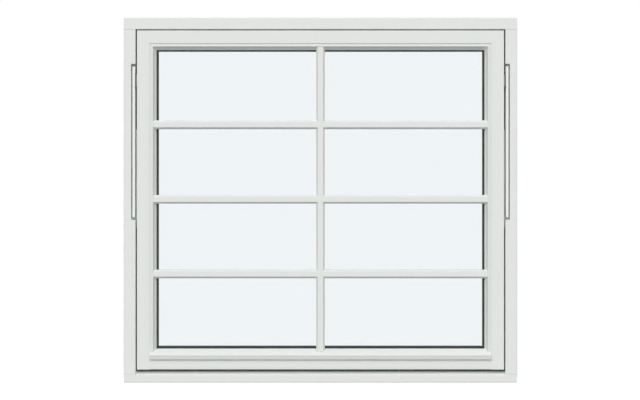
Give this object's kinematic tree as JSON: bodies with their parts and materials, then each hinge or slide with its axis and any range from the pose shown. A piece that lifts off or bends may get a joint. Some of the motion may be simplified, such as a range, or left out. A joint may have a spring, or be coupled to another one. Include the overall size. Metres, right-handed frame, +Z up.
{
  "type": "pivot window",
  "caption": "Outward-opening reversible timber window, painted white, with a bead-glazed sash, a grid of glazing bars and guide rails let into the jambs.",
  "frame": {"origin": "middle of the sill's underside, half way through the frame's depth", "axes": "+X to the right as seen from outside, -Y points outside, +Z up"},
  "size_m": [1.38, 0.1246, 1.28],
  "materials": {
    "painted_timber": "satin",
    "glass": "clear",
    "rubber": "matte",
    "spacer": "matte",
    "rail_enamel": "satin",
    "fitting_steel": "satin",
    "handle_metal": "satin"
  },
  "bodies": {
    "root": {"drip_bead_bottom": "painted_timber", "frame_head": "painted_timber", "frame_jamb_left": "painted_timber", "frame_jamb_right": "painted_timber", "frame_sill": "painted_timber", "gasket_inner": "rubber", "gasket_outer": "rubber", "glass_inner": "glass", "glass_middle": "glass", "glass_outer": "glass", "glazing_bead_left": "painted_timber", "glazing_bead_right": "painted_timber", "glazing_bead_top": "painted_timber", "guide_rail_left": "rail_enamel", "guide_rail_right": "rail_enamel", "guide_shoe_left": "fitting_steel", "guide_shoe_right": "fitting_steel", "handle_lever": "handle_metal", "handle_rose": "handle_metal", "inner_bar_row_1_left": "painted_timber", "inner_bar_row_1_right": "painted_timber", "inner_bar_row_2_left": "painted_timber", "inner_bar_row_2_right": "painted_timber", "inner_bar_row_3_left": "painted_timber", "inner_bar_row_3_right": "painted_timber", "inner_bar_vertical": "painted_timber", "outer_bar_row_1_left": "painted_timber", "outer_bar_row_1_right": "painted_timber", "outer_bar_row_2_left": "painted_timber", "outer_bar_row_2_right": "painted_timber", "outer_bar_row_3_left": "painted_timber", "outer_bar_row_3_right": "painted_timber", "outer_bar_vertical": "painted_timber", "pivot_arm_left": "fitting_steel", "pivot_arm_right": "fitting_steel", "sash_bottom_rail": "painted_timber", "sash_stile_left": "painted_timber", "sash_stile_right": "painted_timber", "sash_top_rail": "painted_timber", "spacer_inner": "spacer", "spacer_outer": "spacer", "weatherstrip": "rubber"}
  },
  "joints": []
}
